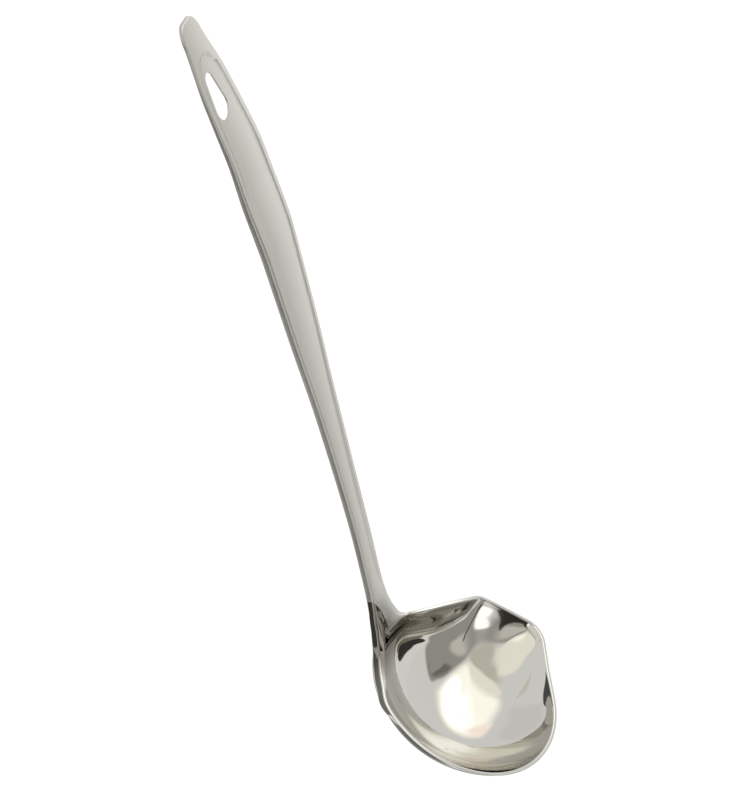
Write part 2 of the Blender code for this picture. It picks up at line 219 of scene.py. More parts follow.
# Cards round the bowl: how far away, what they send out, how wide their soft edge is in degrees,
# and their outline as (azimuth, elevation) in degrees, seen from the middle of the bowl's rim
CARDS = {
    "cream_card": (1.70, (1.28, 1.25, 1.12), 4.0, (
        (-45, 34), (-20, 33), (0, 34), (0, 80), (-70, 85), (-52, 66), (-43, 46))),
    "top_softbox": (1.60, (1.72, 1.70, 1.56), 11.0, (
        (-38, 34), (-20, 33), (2, 32), (13, 27), (21, 23), (39, 24), (55, 23), (68, 23), (80, 29),
        (88, 40), (89, 55), (90, 70), (100, 84), (-60, 86), (-22, 70), (-24, 50))),
    "softbox_core": (1.55, (2.5, 2.5, 2.45), 18.0, (
        (-18, 33), (10, 27), (50, 24), (72, 28), (76, 48), (45, 62), (0, 60))),
    "warm_card": (1.54, (1.58, 1.38, 1.26), 9.0, ((62, 36), (84, 32), (89, 52), (85, 66), (66, 60))),
    "mid_grey_card": (1.45, (0.45, 0.44, 0.41), 4.0, (
        (-44, 33), (2, 33), (13, 26), (21, 21), (8, 10), (-8, -8), (-14, -13), (-20, -28), (-50, -30),
        (-62, -14), (-50, 0), (-47, 14))),
    "light_stripe": (1.40, (0.80, 0.78, 0.73), 7.0, (
        (-44, 10), (-30, 4), (-20, 16), (-26, 30), (-42, 32))),
    "dark_stripe": (1.41, (0.24, 0.23, 0.21), 7.0, ((-10, 16), (4, 8), (17, 20), (4, 32), (-20, 33))),
    "beige_card": (1.50, (0.78, 0.75, 0.66), 8.0, (
        (-47, 24), (-38, 24), (-34, 40), (-38, 56), (-60, 74), (-70, 74), (-53, 60), (-46, 40))),
    "lip_strip": (0.60, (1.9, 1.9, 1.9), 1.5, (
        (-56, -7), (-53, -7), (-47, 4), (-42.5, 14), (-42.5, 17), (-45, 17), (-50, 6))),
    "lip_flag": (0.35, (0.04, 0.04, 0.035), 0.7, (
        (-54, -11), (-46, -1), (-39.7, 9), (-37.2, 14.5), (-36.2, 19), (-35.2, 19), (-36.3, 7.5),
        (-38.5, 0.5), (-43, -8.5), (-50, -14))),
    "low_flag": (1.30, (0.05, 0.05, 0.045), 1.2, (
        (-14, -13), (2, -13), (10, -10), (24, -13), (34, -15), (34, -21), (11, -23), (-13, -24))),
    "low_brown_card": (1.32, (0.26, 0.23, 0.19), 2.0, (
        (-14, -22), (11, -21), (35, -19), (32, -31), (0, -36), (-18, -33))),
    "side_grey_card": (1.50, (0.92, 0.91, 0.92), 10.0, (
        (92, 34), (130, 36), (172, 46), (170, 80), (110, 84))),
    "right_flag": (1.40, (0.10, 0.10, 0.10), 1.5, ((160, 40), (200, 40), (200, 53), (160, 50))),
    "outer_flag": (1.20, (0.16, 0.16, 0.15), 4.0, ((132, -28), (172, -28), (172, -62), (132, -60))),
    "side_flag": (1.25, (0.24, 0.24, 0.23), 4.0, ((158, -28), (234, -20), (234, 12), (158, 14))),
    "handle_card": (1.20, (0.30, 0.30, 0.30), 12.0, ((70, -8), (150, -8), (150, -62), (70, -62))),
    "flank_flag": (1.20, (0.13, 0.13, 0.13), 4.0, ((-128, -60), (-94, -60), (-92, 8), (-126, 10))),
}

CARD_ROUNDS = 3
CARD_CORNER = 0.2

# How finely the skin is drawn
ACROSS = 27
FACE_STEPS = np.array((0.0, 0.6, 1.1, 1.25, 1.4, 1.55, 1.7, 1.85, 2.1)) * MM
COLUMNS = 262
CAVITY_ROWS = 46
BRIM_ROWS = 8
ROUND_ROWS = 5
HEEL_ROWS = 12
WALL_ROWS = 40
ARC_STEPS = 12
CIRCLE_POINTS = 140
EVEN_POINTS = 1200
LINE_SOFTENING = 0.7 * MM
COLUMN_SPACING = 1.5 * MM
COLUMN_TURN = math.radians(3.2)
REACH = 60.0 * MM
WELD_DISTANCE = 0.002 * MM


def ease(t):
    """0 to 1 with a level start and end."""
    t = np.clip(t, 0.0, 1.0)
    return t * t * (3 - 2 * t)


def past(places, start, length):
    """0 up to the start, and 1 from one length past it."""
    return ease((places - start) / length)


def curve_through(stations, places, last_slope=0.0):
    """Heights of a curve through the stations. It starts level and never overshoots."""
    xs, ys = np.array(stations, dtype=float).T
    places = np.asarray(places, dtype=float)
    rises = np.diff(ys) / np.diff(xs)
    before, after = rises[:-1], rises[1:]
    total = np.where(before + after == 0, 1.0, before + after)
    inner = np.where(before * after <= 0, 0.0, 2 * before * after / total)
    slopes = np.concatenate([[0.0], inner, [last_slope]])
    i = np.clip(np.searchsorted(xs, places, side="right") - 1, 0, len(xs) - 2)
    span = xs[i + 1] - xs[i]
    t = np.clip((places - xs[i]) / span, 0.0, 1.0)
    low = ys[i] * (1 + 2 * t) * (1 - t) ** 2 + slopes[i] * span * t * (1 - t) ** 2
    high = ys[i + 1] * t * t * (3 - 2 * t) + slopes[i + 1] * span * t * t * (t - 1)
    return low + high + last_slope * np.maximum(0.0, places - xs[-1])


def setback(up):
    """How far the handle's face lies behind its straight line, this far up from the rim."""
    return curve_through(SETBACKS, up, END_SLOPE)


def half_width(up):
    """Half the width of the handle's face, this far up from the rim."""
    up = np.asarray(up, dtype=float)
    tip_start = HANDLE_LENGTH - TIP_RADIUS
    run, rise = HALF_WIDTHS[-1] - HALF_WIDTHS[-2]
    wide = curve_through(HALF_WIDTHS, np.minimum(up, tip_start), rise / run)
    wide = wide + FLARE * np.clip(1 - np.maximum(0.0, up) / FLARE_LENGTH, 0.0, 1.0) ** 2
    along = np.clip((up - tip_start) / TIP_RADIUS, 0.0, 1.0)
    tip = TIP_FLAT + (TIP_HALF_WIDTH - TIP_FLAT) * np.sqrt(1 - along**2)
    return np.where(up > tip_start, tip, wide)


def edge_depth(up):
    """How deep the turned-back edge is, face to free edge."""
    from_foot = FOOT_EDGE_DEPTH + (EDGE_DEPTH - FOOT_EDGE_DEPTH) * ease(up / FOOT_LENGTH)
    to_tip = (HANDLE_LENGTH - up - EDGE_START_DOWN) / EDGE_RUN
    return np.minimum(from_foot, SHEET + (EDGE_DEPTH - SHEET) * np.clip(to_tip, 0.0, 1.0))


def back_depth(up):
    """How deep the middle of the back lies where the handle is solid."""
    foot = np.clip(1 - up / FOOT_LENGTH, 0.0, 1.0) ** 2
    return edge_depth(np.maximum(up, FOOT_LENGTH)) + (FOOT_DEPTH - EDGE_DEPTH) * foot


HOLE_UP = HANDLE_LENGTH - HOLE_DOWN
NECK = np.array((HOLE_SIDE, -float(setback(HOLE_UP)) - SHEET / 2, -HOLE_UP))
TO_FRONT = np.array((0.0, -math.cos(HANDLE_LEAN), -math.sin(HANDLE_LEAN)))
TO_LIP = np.array((1.0, 0.0, 0.0))
RIM_UP = np.array((0.0, -math.sin(HANDLE_LEAN), math.cos(HANDLE_LEAN)))
RIM_CENTRE = NECK + HANDLE_SET * TO_FRONT


def bowl_place(front, side, up):
    """Points of the bowl: ahead of the rim's centre, towards the lip, and above the rim."""
    front, side, up = np.broadcast_arrays(front, side, up)
    parts = front[..., None] * TO_FRONT + side[..., None] * TO_LIP + up[..., None] * RIM_UP
    return RIM_CENTRE + parts


def handle_place(across, back, up):
    """Points of the handle: across it, behind its straight line, and up from the rim."""
    return NECK + np.stack(np.broadcast_arrays(across, back, up), axis=-1)


def seen_square(points):
    """How far ahead of the rim's centre points lie, and how far towards the lip."""
    return np.stack([(points - RIM_CENTRE) @ TO_FRONT, (points - RIM_CENTRE) @ TO_LIP], axis=1)


def unit(vectors):
    """The same directions, one long."""
    return vectors / np.linalg.norm(vectors, axis=-1, keepdims=True)


def blend(a, b, share):
    """From a to b. The share has one number for each point."""
    share = np.asarray(share)[..., None]
    return a * (1 - share) + b * share


def rounding(start, corner, end):
    """Rows of points on a soft curve that leaves one straight line for another near a corner."""
    rows = []
    for k in range(ROUND_ROWS + 1):
        t = k / ROUND_ROWS
        first = start + 0.56 * (corner - start)
        second = end + 0.56 * (corner - end)
        arc = (1 - t) ** 3 * start + 3 * t * (1 - t) ** 2 * first
        rows.append(arc + 3 * t * t * (1 - t) * second + t**3 * end)
    return np.array(rows)


def eased_corners(radius):
    """How far in or out each direction moves where the wall has left the corners behind."""
    line = opening_line(radius)
    angles = np.arctan2(line[:, 0], line[:, 1])
    order = np.argsort(angles)
    fine = np.radians(np.arange(-180.0, 180.0, 1.0))
    reach = np.interp(fine, angles[order], np.linalg.norm(line, axis=1)[order], period=2 * math.pi)
    offsets = np.arange(-45, 46)
    weights = np.exp(-((offsets / CORNER_SPREAD) ** 2) / 2)
    smooth = sum(w * np.roll(reach, k) for w, k in zip(weights / weights.sum(), offsets))
    ratio = smooth / reach
    return np.append(fine, math.pi), np.append(ratio, ratio[0])


class Bowl:
    """The rules that the bowl's walls follow, from the sizes in the panel."""

    def __init__(self, sizes):
        self.radius = sizes.bowl_radius
        self.depth = sizes.bowl_depth
        self.lift = sizes.lip_lift
        self.sphere = (self.radius**2 + self.depth**2) / (2 * self.depth)
        self.rise = self.sphere - self.depth
        self.outer_radius = math.sqrt((self.sphere + SHEET) ** 2 - self.rise**2)
        self.outer = self.outer_radius, self.sphere + SHEET
        self.angles, self.eased = eased_corners(self.radius)

    def ring_at(self, depth, radius, sphere):
        """The ring, 0 at the rim to 1 at the bottom, that lies this deep below the rim."""
        turn = np.arccos(np.clip((depth + self.rise) / sphere, -1.0, 1.0))
        return 1 - turn / math.asin(radius / sphere)

    def wall(self, edge, ring, radius, sphere, slack=0.0):
        """Points on the wall: the line down from each edge point, where it crosses each ring."""
        full = math.asin(radius / sphere)
        turn = full * (1 - ring)
        spread = np.sin(turn) / math.sin(full)
        depth = sphere * np.cos(turn) - self.rise
        fade = DRAW_DEPTH + (LIP_DEPTH - DRAW_DEPTH) * ease(edge[..., 1] / LIP_REACH)
        short = np.maximum(0.0, radius - np.linalg.norm(edge, axis=-1))
        fade = fade + slack * short
        angle = np.arctan2(edge[..., 0], edge[..., 1])
        rounder = edge * np.interp(angle, self.angles, self.eased)[..., None]
        flat = blend(edge, rounder, ease(depth / CORNER_FADE))
        flat = blend(flat, unit(edge) * radius, ease(depth / fade)) * spread[..., None]
        lip_angle = math.atan2(LIP_FORWARD - LIP_WIDTH / 2, LIP_REACH)
        away = np.abs(angle - lip_angle) / LIP_LIFT_SPREAD
        lift = self.lift * np.clip(1 - away**2, 0.0, 1.0) ** 2 * spread**4
        return bowl_place(flat[..., 0], flat[..., 1], lift - depth)

    def inside(self, edge, ring):
        """Points on the inside of the wall."""
        return self.wall(edge, ring, self.radius, self.sphere, WALL_SLACK)

    def outside(self, edge, ring):
        """Points on the outside of the wall."""
        return self.wall(edge, ring, *self.outer)


def corner_arc(before, corner, after, radius):
    """Points on the arc that rounds a corner between two straight lines."""
    back, on = unit(before - corner), unit(after - corner)
    half = math.acos(float(np.clip(back @ on, -1.0, 1.0))) / 2
    centre = corner + unit(back + on) * radius / math.sin(half)
    start = corner + back * radius / math.tan(half) - centre
    turn = math.pi - 2 * half
    if back[0] * on[1] - back[1] * on[0] > 0:
        turn = -turn
    points = []
    for k in range(ARC_STEPS + 1):
        c, s = math.cos(turn * k / ARC_STEPS), math.sin(turn * k / ARC_STEPS)
        points.append(centre + np.array((c * start[0] - s * start[1], s * start[0] + c * start[1])))
    return points


def meet(point, along, other, other_along):
    """Where two straight lines of the plane cross."""
    shares = np.linalg.solve(np.stack([along, -other_along], axis=1), other - point)
    return point + shares[0] * along


def lip_corners():
    """The two corners of the pouring lip: the front one and the one towards the neck."""
    along = np.array((math.cos(LIP_TURN), math.sin(LIP_TURN)))
    middle = np.array((LIP_FORWARD, LIP_REACH))
    return middle + LIP_WIDTH / 2 * along, middle - LIP_WIDTH / 2 * along


def opening_line(radius):
    """The bowl's opening seen square on, from the neck over the near side, front and lip."""
    front_corner, rear_corner = lip_corners()
    leave = -math.pi + NEAR_ANGLE
    away = math.atan2(front_corner[1], front_corner[0])
    away -= math.acos(radius / np.linalg.norm(front_corner))
    angles = np.linspace(leave, away, CIRCLE_POINTS)
    circle = radius * np.stack([np.cos(angles), np.sin(angles)], axis=1)
    tangent = np.array((math.sin(leave), -math.cos(leave)))
    chord = radius * np.array((-math.cos(DRAWN_ROUND), -math.sin(DRAWN_ROUND)))
    near = meet(NECK_CORNER, chord - NECK_CORNER, circle[0], tangent)
    to_circle = circle[0] - near
    bend = math.acos(float(unit(near - NECK_CORNER) @ unit(to_circle)))
    near_radius = np.linalg.norm(to_circle) / math.tan(bend / 2)
    line = corner_arc(SHOULDER_CORNER, NECK_CORNER, near, NECK_RADIUS)
    line += corner_arc(NECK_CORNER, near, circle[0], near_radius)
    line += list(circle[1:])
    line += corner_arc(circle[-1], front_corner, rear_corner, LIP_FRONT_RADIUS)
    line += corner_arc(front_corner, rear_corner, SHOULDER_CORNER, LIP_RADIUS)
    line += corner_arc(rear_corner, SHOULDER_CORNER, NECK_CORNER, NECK_RADIUS)
    return np.array(line)


def lengths(points):
    """Distance along a line of points, from its first one."""
    return np.concatenate([[0.0], np.cumsum(np.linalg.norm(np.diff(points, axis=0), axis=1))])


def along_line(points, places, measure=None):
    """Points at the given places along a line of points."""
    measure = lengths(points) if measure is None else measure
    return np.stack([np.interp(places, measure, points[:, k]) for k in range(points.shape[1])], 1)


def softened(points, reach):
    """A closed line of even spacing, averaged over its neighbourhood."""
    step = np.linalg.norm(points[1] - points[0])
    offsets = np.arange(-12, 13)
    weights = np.exp(-((offsets * step / reach) ** 2) / 2)
    weights /= weights.sum()
    return sum(w * np.roll(points, -k, axis=0) for w, k in zip(weights, offsets))


def opening_columns(radius):
    """The opening's edge as columns: first the neck's, then on round the near side and the lip."""
    closed = opening_line(radius)
    closed = np.vstack([closed, closed[:1]])
    measure = lengths(closed)
    even = along_line(closed, np.linspace(0, measure[-1], EVEN_POINTS + 1)[:-1], measure)
    even = softened(even, LINE_SOFTENING)
    turned = np.roll(even, -int(np.argmin(np.abs(even[:, 1]) + (even[:, 0] > 0))), axis=0)
    closed = np.vstack([turned, turned[:1]])
    measure = lengths(closed)
    few = EVEN_POINTS // 15
    start = np.interp(NECK_HALF_WIDTH, -closed[:few, 1], measure[:few])
    end = np.interp(-NECK_HALF_WIDTH, -closed[-few:, 1], measure[-few:])
    neck = np.linspace(end - measure[-1], start, ACROSS)
    neck = along_line(closed, np.mod(neck, measure[-1]), measure)
    edges = np.diff(closed, axis=0)
    heading = np.unwrap(np.arctan2(edges[:, 1], edges[:, 0]))
    turning = np.abs(np.gradient(heading)) / COLUMN_TURN
    closeness = np.linalg.norm(edges, axis=1) / COLUMN_SPACING + turning
    weight = np.concatenate([[0.0], np.cumsum(closeness)])
    low, high = np.interp((start, end), measure, weight)
    places = np.interp(np.linspace(low, high, COLUMNS - ACROSS + 2)[1:-1], weight, measure)
    return np.vstack([neck, along_line(closed, places, measure)])


def outward(points):
    """Outward directions of a closed line of points that runs from the neck to the near side."""
    ahead = np.roll(points, -1, axis=0) - np.roll(points, 1, axis=0)
    return unit(np.stack([ahead[:, 1], -ahead[:, 0]], axis=1))


def smooth_run(points, active, rounds):
    """Evens out a run of points. The active share of each point says how far it may move."""
    points = points.copy()
    for _ in range(rounds):
        middle = (points[:-2] + points[2:]) / 2
        points[1:-1] += 0.5 * active[1:-1, None] * (middle - points[1:-1])
    return points


def flare_up(reach):
    """How far up the flare the rim's crease is, from how far along the opening's edge it starts."""
    return FACE_START * np.clip(1 - reach / FLARE_REACH, 0.0, 1.0) ** 1.5


def flare_points(reach, side):
    """The flare's crease in the bowl's own directions: ahead, to the lip, and above the rim."""
    up = flare_up(reach)
    ahead = -HANDLE_SET - up * math.sin(HANDLE_LEAN)
    return np.stack([ahead, side * half_width(up), up * math.cos(HANDLE_LEAN)], axis=-1)


def rim_crease(ring, outer):
    """The sharp line outside the rim: the handle's flares run down into it at the neck."""
    from_near = lengths(ring)
    from_rear = from_near[-1] - from_near
    rim = np.concatenate([outer, np.zeros((len(outer), 1))], axis=1)
    crease = rim.copy()
    for reach, (side, last, marks) in zip((from_near, from_rear), CREASE_SIDES):
        steps = np.linspace(0, FLARE_END, 10)
        keys = list(steps) + [key * MM for key, _ in marks]
        points = list(flare_points(steps, side)) + [np.array(place) * MM for _, place in marks]
        order = np.argsort(reach)
        drawn = []
        for key, point in zip(keys, points):
            base = [np.interp(key, reach[order], rim[order, k]) for k in range(3)]
            drawn.append(point - np.array(base))
        keys.append(last * MM)
        drawn.append(np.zeros(3))
        on_flare = reach <= FLARE_END
        for k in range(3):
            shift = curve_through([(key, d[k]) for key, d in zip(keys, drawn)], reach)
            crease[:, k] += np.where(reach <= last * MM, shift, 0.0)
            crease[on_flare, k] = flare_points(reach[on_flare], side)[:, k]
    reach = np.minimum(from_near, from_rear)
    active = past(reach, 3.0 * MM, 3.0 * MM) * (1 - past(reach, 30.0 * MM, 8.0 * MM))
    return smooth_run(crease, active, 6), from_near, from_rear


def side_stations():
    """Heights of the handle's sections, from the top of the flare to the tip."""
    lower = np.arange(FACE_START, 30.0 * MM, 1.3 * MM)
    tip_start = HANDLE_LENGTH - TIP_RADIUS
    arch_start = tip_start - 15.0 * MM
    middle = np.linspace(lower[-1] + 1.6 * MM, arch_start, 80)
    middle = np.append(middle, np.linspace(arch_start, tip_start, 34)[1:])
    tip = tip_start + TIP_RADIUS * np.sin(np.radians(np.linspace(0, 90, 12)))[1:]
    return np.concatenate([lower, middle, tip])


def underside_row(up):
    """Points of one row under the handle, from one turned edge to the other."""
    inner = half_width(up) - SHEET
    depth = edge_depth(up)
    hollow = past(up, FOOT_LENGTH, HOLLOW_START - FOOT_LENGTH)
    floor = back_depth(up) * (1 - hollow) + SHEET * hollow
    reach = 0.8 * inner * (1 - hollow) + 1.2 * MM * hollow
    reach = min(reach, 0.8 * inner)
    shares = np.linspace(0.0, 1.0, ACROSS // 2 - 2)
    half = half_width(up) - LOW_ROUNDING
    across = np.concatenate([[half], inner - reach * shares, [(inner - reach) / 2, 0.0]])
    back = np.concatenate([[depth], depth + (floor - depth) * ease(shares), [floor, floor]])
    across = np.concatenate([across, -across[-2::-1]])
    back = np.concatenate([back, back[-2::-1]])
    return handle_place(across, back + setback(up), up)


class Skin:
    """The ladle's whole skin, as grids of points that share their edges.

    The grids hang on one loop of points. It runs from the near side of the neck round the sharp
    line outside the rim, up the lip's side of the handle, over the tip and down the other side.
    """

    def __init__(self, sizes):
        self.bowl = Bowl(sizes)
        self.lay_loop()
        self.lay_top_edge()
        self.lay_flank()
        self.under = np.array([underside_row(up) for up in self.ups])
        self.join_wall()
        self.lay_low_edge()

    def passed(self, spans):
        """0 to 1 round the rim, where one rule takes over from another on each side of the neck."""
        near = (self.reach - spans[0, 0]) / spans[0, 1]
        rear = (self.reach - spans[1, 0]) / spans[1, 1]
        return ease(np.where(self.near, near, rear))

    def all_columns(self, neck, rim):
        """One row of the bowl: the neck's columns, and then the rim's between its two ends."""
        return np.concatenate([neck, rim[1 : self.rim_end - 1]])

    def lay_loop(self):
        """The loop, and the columns of the bowl that it follows."""
        edge = opening_columns(self.bowl.radius)
        ring = np.concatenate([np.arange(ACROSS - 1, len(edge)), [0]])
        outer_edge = (edge + RIM_WIDTH * outward(edge))[ring]
        self.edge, self.ring, self.ring_edge, self.outer_edge = edge, ring, edge[ring], outer_edge
        self.crease, from_near, from_rear = rim_crease(self.ring_edge, outer_edge)
        self.near = from_near <= from_rear
        self.reach = np.minimum(from_near, from_rear)
        self.wall_top = self.bowl.outside(outer_edge, np.zeros(len(ring)))
        lift = (self.wall_top - RIM_CENTRE) @ RIM_UP
        ahead, side, up = self.crease.T
        rim_line = bowl_place(ahead, side, up + lift)

        self.ups = side_stations()
        wide = half_width(self.ups)
        right = handle_place(wide, setback(self.ups), self.ups)
        left = handle_place(-wide, setback(self.ups), self.ups)
        tip_across = np.linspace(TIP_FLAT, -TIP_FLAT, ACROSS)[1:-1]
        tip = handle_place(tip_across, setback(HANDLE_LENGTH), HANDLE_LENGTH)
        self.loop = np.concatenate([rim_line, right[1:], tip, left[:0:-1]])
        self.rim_end = len(rim_line)
        self.tip_start = self.rim_end + len(right) - 1
        self.tip_end = self.tip_start + len(tip)
        self.loop_up = (self.loop - NECK)[:, 2]

    def lay_top_edge(self):
        """Where the rounding of the loop ends on the brim and on the face."""
        first, loop = self.rim_end, self.loop
        inward = np.zeros_like(loop)
        inward[:first] = self.bowl.inside(self.ring_edge, np.zeros(first)) - loop[:first]
        inward[first : self.tip_start] = (-1.0, 0.0, 0.0)
        inward[self.tip_start : self.tip_end] = (0.0, 0.0, -1.0)
        inward[self.tip_end :] = (1.0, 0.0, 0.0)
        tangent = unit(np.roll(loop, -1, axis=0) - np.roll(loop, 1, axis=0))
        inward = unit(inward - np.sum(inward * tangent, axis=1, keepdims=True) * tangent)
        self.inward = inward

        on_ring = np.arange(len(loop)) < first
        far = np.zeros(len(loop), dtype=bool)
        far[:first] = self.reach > 9.0 * MM
        flare = past(self.loop_up, 2.0 * MM, 12.0 * MM) * np.where(far, 0.0, 1.0)
        on_rim = RIM_ROUNDING + (FLARE_ROUNDING - RIM_ROUNDING) * flare
        full = (edge_depth(np.maximum(self.loop_up, 0)) - SHEET) / (EDGE_DEPTH - SHEET)
        on_handle = TIP_ROUNDING + (FLARE_ROUNDING - TIP_ROUNDING) * np.clip(full, 0.0, 1.0)
        self.soft = np.where(on_ring, on_rim, on_handle)
        self.top_inset = loop + inward * self.soft[:, None]
        on_face = ~on_ring
        on_face[[0, first - 1]] = True
        up = np.maximum((self.top_inset - NECK)[:, 2], 0.0)
        self.top_inset[on_face, 1] = (NECK[1] + setback(up))[on_face]

    def lay_flank(self):
        """The flank outside the loop, down to its lower corner.

        It runs straight back on the handle, square to the rim beside the neck, and down the bowl's
        wall beyond that.
        """
        step = np.full(self.rim_end, self.bowl.ring_at(SHEET, *self.bowl.outer))
        self.wall_down = unit(self.bowl.outside(self.outer_edge, step) - self.wall_top)
        self.to_rim = self.passed(SQUARE_TO_RIM)
        self.to_wall = self.passed(DOWN_THE_WALL)
        back = np.array((0.0, 1.0, 0.0))
        self.flank = np.tile(back, (len(self.loop), 1))
        beside = blend(back, -RIM_UP, self.to_rim)
        self.flank[: self.rim_end] = unit(blend(beside, self.wall_down, self.to_wall))
        self.depth = edge_depth(np.maximum(self.loop_up, 0.0))
        on_rim = self.depth[: self.rim_end] * (1 - self.to_wall) + WALL_FLANK * self.to_wall
        self.depth[: self.rim_end] = on_rim
        self.low_corner = self.loop + self.flank * self.depth[:, None]

    def join_wall(self):
        """Where the skin joins the bowl's wall below the flank and the handle's foot."""
        low_flat = seen_square(self.low_corner[: self.rim_end])
        low_edge = blend(self.outer_edge, low_flat, 1 - self.passed(FOOT_ENDS))
        self.wall_edge = self.all_columns(seen_square(self.under[0]), low_edge)
        depth = JOIN_DEPTH - JOIN_RISE * self.passed(JOIN_RISES)
        depth = self.all_columns(np.full(ACROSS, JOIN_DEPTH), depth)
        outer = self.bowl.outer
        self.join_ring = self.bowl.ring_at(depth, *outer)
        self.join = self.bowl.outside(self.wall_edge, self.join_ring)
        below = self.bowl.outside(self.wall_edge, self.bowl.ring_at(depth + 0.2 * MM, *outer))
        self.join_down = unit(below - self.join)

    def lay_low_edge(self):
        """Where the rounding of the lower corner ends, and which way the skin leaves it."""
        first, flank = self.rim_end, self.flank
        straight = unit(self.join[self.ring] - self.low_corner[:first])
        out = unit(self.crease[:, :2])
        ledge = unit(0.35 * (out[:, :1] * TO_FRONT + out[:, 1:] * TO_LIP) - 0.94 * RIM_UP)
        down = np.tile(np.array((0.0, 0.0, -1.0)), (first, 1))
        away = unit(blend(blend(down, ledge, self.to_rim), self.wall_down, self.to_wall))
        away = unit(0.75 * away + 0.25 * straight)
        heel_down = unit(self.under[0] - underside_row(self.ups[0] + 0.5 * MM))
        self.leave = self.all_columns(heel_down, away)

        along_flank = np.sum(self.inward * flank, axis=1, keepdims=True) * flank
        self.low_inset = self.low_corner + LOW_ROUNDING * unit(self.inward - along_flank)
        self.low_inset[:first] = self.low_corner[:first] + LOW_ROUNDING * away
        self.low_inset[first - 1 : self.tip_start] = self.under[:, 0]
        self.low_inset[self.tip_end :] = self.under[:0:-1, -1]
        self.low_inset[0] = self.under[0, -1]
        self.under[-1, 1:-1] = self.low_inset[self.tip_start : self.tip_end]

    def face(self):
        """Rows across the handle's face."""
        right = self.top_inset[self.rim_end - 1 : self.tip_start]
        left = np.concatenate([self.top_inset[:1], self.top_inset[self.tip_end :][::-1]])
        near_edge = FACE_STEPS[None] / np.linalg.norm(right - left, axis=1)[:, None]
        between = np.linspace(0, 1, ACROSS - 2 * len(FACE_STEPS) + 2)[1:-1]
        last = near_edge[:, -1:]
        middle = last + (1 - 2 * last) * between
        shares = np.concatenate([near_edge, middle, 1 - near_edge[:, ::-1]], axis=1)
        face = blend(right[:, None], left[:, None], shares)
        face[..., 1] = NECK[1] + setback(face[..., 2] - NECK[2])
        face[-1, 1:-1] = self.top_inset[self.tip_start : self.tip_end]
        return face

    def top(self, face_start):
        """Rows from the bottom of the bowl up its inside and over the brim to the loop."""
        bowl, edge = self.bowl, self.edge
        brim_end = self.all_columns(face_start, self.top_inset[: self.rim_end])
        rolled = self.all_columns(np.ones(ACROSS), 1 - self.passed(ROLL_ENDS))
        soft = EDGE_ROUNDING + (NECK_ROUNDING - EDGE_ROUNDING) * rolled
        soft_ring = bowl.ring_at(soft, bowl.radius, bowl.sphere)
        edge_top = bowl.inside(edge, np.zeros(len(edge)))
        to_brim = brim_end - edge_top
        brim_length = np.linalg.norm(to_brim, axis=1, keepdims=True)
        over = np.minimum(soft[:, None], 0.45 * brim_length)
        brim_start = edge_top + to_brim / brim_length * over
        turned = rounding(bowl.inside(edge, soft_ring), edge_top, brim_start)
        brim = []
        end_setback = setback(np.maximum(0.0, brim_end[:, 2] - NECK[2]))
        for share in np.arange(1, BRIM_ROWS + 1) / BRIM_ROWS:
            row = brim_start * (1 - share) + brim_end * share
            row[:, 1] += setback(np.maximum(0.0, row[:, 2] - NECK[2])) - share * end_setback
            brim.append(row)
        # The last ring stops just short of the rounding, which starts level with it
        shares = np.append(np.linspace(0, 1, CAVITY_ROWS)[:-1], 0.994)
        cavity = [bowl.inside(edge, 1 - (1 - soft_ring) * share) for share in shares]
        return np.concatenate([cavity, turned, brim])

    def bottom(self):
        """Rows from the loop's lower edge down to the wall, and on to the bottom outside."""
        start = self.all_columns(self.under[0], self.low_inset[: self.rim_end])
        span = np.linalg.norm(self.join - start, axis=1, keepdims=True)
        rows = []
        for t in np.arange(HEEL_ROWS + 1) / HEEL_ROWS:
            row = start * (1 + 2 * t) * (1 - t) ** 2 + self.join * t * t * (3 - 2 * t)
            turn = self.leave * t * (1 - t) ** 2 + self.join_down * t * t * (t - 1)
            rows.append(row + span * turn)
        for share in np.linspace(0, 1, WALL_ROWS + 1)[1:]:
            ring = self.join_ring + (1 - self.join_ring) * share
            rows.append(self.bowl.outside(self.wall_edge, ring))
        return np.array(rows)

    def strip(self):
        """Rows over the loop and down the flank, with both of its corners rounded."""
        reach = np.minimum(self.soft, 0.45 * self.depth)[:, None]
        over = rounding(self.top_inset, self.loop, self.loop + self.flank * reach)
        low_start = self.low_corner - self.flank * LOW_ROUNDING
        return np.concatenate([over, rounding(low_start, self.low_corner, self.low_inset)])

    def grids(self):
        """Every grid, and whether its rows are closed rings."""
        face = self.face()
        rings = [(self.top(face[0]), True), (self.strip(), True), (self.bottom(), True)]
        return rings + [(face, False), (self.under, False)]


def mesh_from_grids(name, grids):
    """One closed mesh from grids of points that share their edges."""
    mesh = bmesh.new()
    for points, closed in grids:
        rows, columns = points.shape[:2]
        verts = [mesh.verts.new(p) for p in points.reshape(-1, 3)]
        for r in range(rows - 1):
            for c in range(columns if closed else columns - 1):
                d = (c + 1) % columns
                row, after = r * columns, (r + 1) * columns
                corners = (row + c, row + d, after + d, after + c)
                mesh.faces.new([verts[k] for k in corners])
    bmesh.ops.remove_doubles(mesh, verts=mesh.verts, dist=WELD_DISTANCE)
    bmesh.ops.recalc_face_normals(mesh, faces=mesh.faces)
    gaps = sum(1 for e in mesh.edges if not e.is_manifold)
    if gaps:
        raise RuntimeError(f"the skin has {gaps} open edges")
    if mesh.calc_volume(signed=True) < 0:
        bmesh.ops.reverse_faces(mesh, faces=mesh.faces)
    data = bpy.data.meshes.new(name)
    mesh.to_mesh(data)
    mesh.free()
    return data


